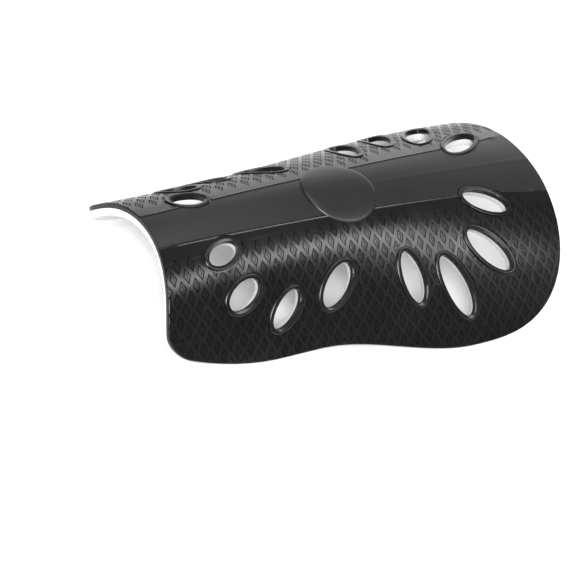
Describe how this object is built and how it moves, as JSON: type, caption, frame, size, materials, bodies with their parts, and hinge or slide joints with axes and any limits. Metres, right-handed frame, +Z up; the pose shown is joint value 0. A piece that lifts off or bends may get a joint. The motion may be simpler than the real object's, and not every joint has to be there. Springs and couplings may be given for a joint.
{
  "type": "shin guard",
  "caption": "Slip-in shin guard: curved vented plastic shell with a smooth centre band and a glued foam liner.",
  "frame": {"origin": "centre of the floor outline under the guard, which rests on its two long edges", "axes": "+Z up, out of the shin side; +Y along the leg from the ankle end to the wide knee end; +X to the side that faces outwards on the leg"},
  "size_m": [0.1204, 0.1934, 0.0451],
  "materials": {
    "shell_plastic": "near-black moulded plastic, satin band and glossy diamond relief",
    "adhesive": "thin clear-to-cream adhesive film",
    "liner_foam": "white closed-cell foam, matte with a skinned face"
  },
  "bodies": {
    "root": {"shell": "shell_plastic", "adhesive_film": "adhesive", "foam_liner": "liner_foam"}
  },
  "joints": []
}
